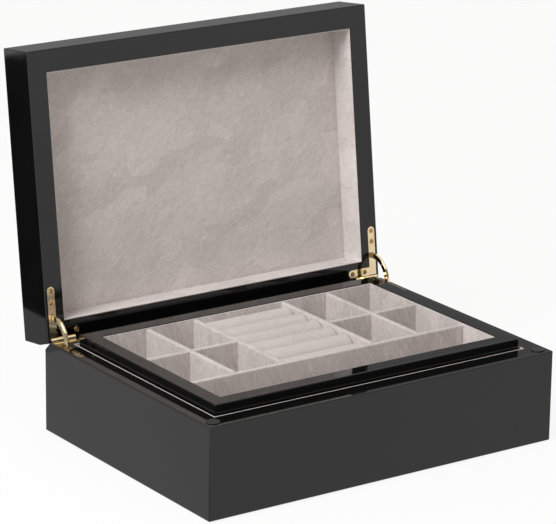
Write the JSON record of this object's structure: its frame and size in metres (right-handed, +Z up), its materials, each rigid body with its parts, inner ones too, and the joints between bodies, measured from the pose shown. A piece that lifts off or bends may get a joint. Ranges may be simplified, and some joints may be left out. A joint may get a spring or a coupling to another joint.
{
  "type": "jewelry box",
  "caption": "Gloss black lacquered jewelry box with a lid on brass quadrant hinges, curved stays, grey suede lining and a lift-out tray with compartments and ring rolls.",
  "frame": {"origin": "middle of the case's underside, on the surface that the box stands on", "axes": "+X to the right along the width, -Y to the front, +Z up; stored with the lid open"},
  "size_m": [0.3, 0.2736, 0.2822],
  "materials": {
    "black_lacquer": "high gloss lacquer",
    "suede": "brushed suede",
    "brass": "polished",
    "felt": "felt",
    "bumper": "satin",
    "board": "suede covered board"
  },
  "bodies": {
    "case": {"base_felt_pad": "felt", "bumper_left": "bumper", "bumper_right": "bumper", "case_back_wall": "black_lacquer", "case_bottom_panel": "board", "case_floor_pad": "suede", "case_front_wall": "black_lacquer", "case_left_wall": "black_lacquer", "case_lining_back": "suede", "case_lining_front": "suede", "case_lining_left": "suede", "case_lining_right": "suede", "case_right_wall": "black_lacquer", "hinge_left_case_leaf": "brass", "hinge_left_case_screws": "brass", "hinge_left_pin": "brass", "hinge_right_case_leaf": "brass", "hinge_right_case_screws": "brass", "hinge_right_pin": "brass", "tray_ledge_left": "board", "tray_ledge_right": "board"},
    "lid": {"lid_back_wall": "black_lacquer", "lid_front_wall": "black_lacquer", "lid_left_wall": "black_lacquer", "lid_lining_back": "suede", "lid_lining_front": "suede", "lid_lining_left": "suede", "lid_lining_panel": "suede", "lid_lining_right": "suede", "lid_right_wall": "black_lacquer", "lid_top_panel": "black_lacquer", "hinge_left_lid_leaf": "brass", "hinge_left_lid_screws": "brass", "hinge_right_lid_leaf": "brass", "hinge_right_lid_screws": "brass"},
    "tray": {"tray_back_rail": "black_lacquer", "tray_floor_board": "board", "tray_floor_pad": "suede", "tray_front_rail": "black_lacquer", "tray_left_rail": "black_lacquer", "tray_lining_back": "suede", "tray_lining_front": "suede", "tray_lining_left": "suede", "tray_lining_right": "suede", "tray_right_rail": "black_lacquer", "front_divider": "suede", "left_column_divider": "suede", "left_cross_divider": "suede", "left_section_wall": "suede", "right_column_divider": "suede", "right_cross_divider": "suede", "right_section_wall": "suede", "ring_roll_1": "suede", "ring_roll_2": "suede", "ring_roll_3": "suede", "ring_roll_4": "suede", "ring_roll_5": "suede", "ring_roll_6": "suede"},
    "left_stay": {"hinge_left_stay": "brass"},
    "right_stay": {"hinge_right_stay": "brass"}
  },
  "joints": [
    {"name": "lid_hinge", "type": "hinge", "parent": "case", "child": "lid", "pos_m": [0, 0.1044, 0.0705], "axis": [1, 0, 0], "range_deg": [0, 97]},
    {"name": "left_stay_swing", "type": "hinge", "parent": "case", "child": "left_stay", "pos_m": [0, 0.1044, 0.0705], "axis": [1, 0, 0], "range_deg": [0, 48.5]},
    {"name": "right_stay_swing", "type": "hinge", "parent": "case", "child": "right_stay", "pos_m": [0, 0.1044, 0.0705], "axis": [1, 0, 0], "range_deg": [0, 48.5]},
    {"name": "tray_lift", "type": "slide", "parent": "case", "child": "tray", "axis": [0, 0, 1], "range_m": [0, 0.015]}
  ],
  "couplings": [
    {"joint": "left_stay_swing", "follows": "lid_hinge", "ratio": 0.5},
    {"joint": "right_stay_swing", "follows": "lid_hinge", "ratio": 0.5}
  ]
}
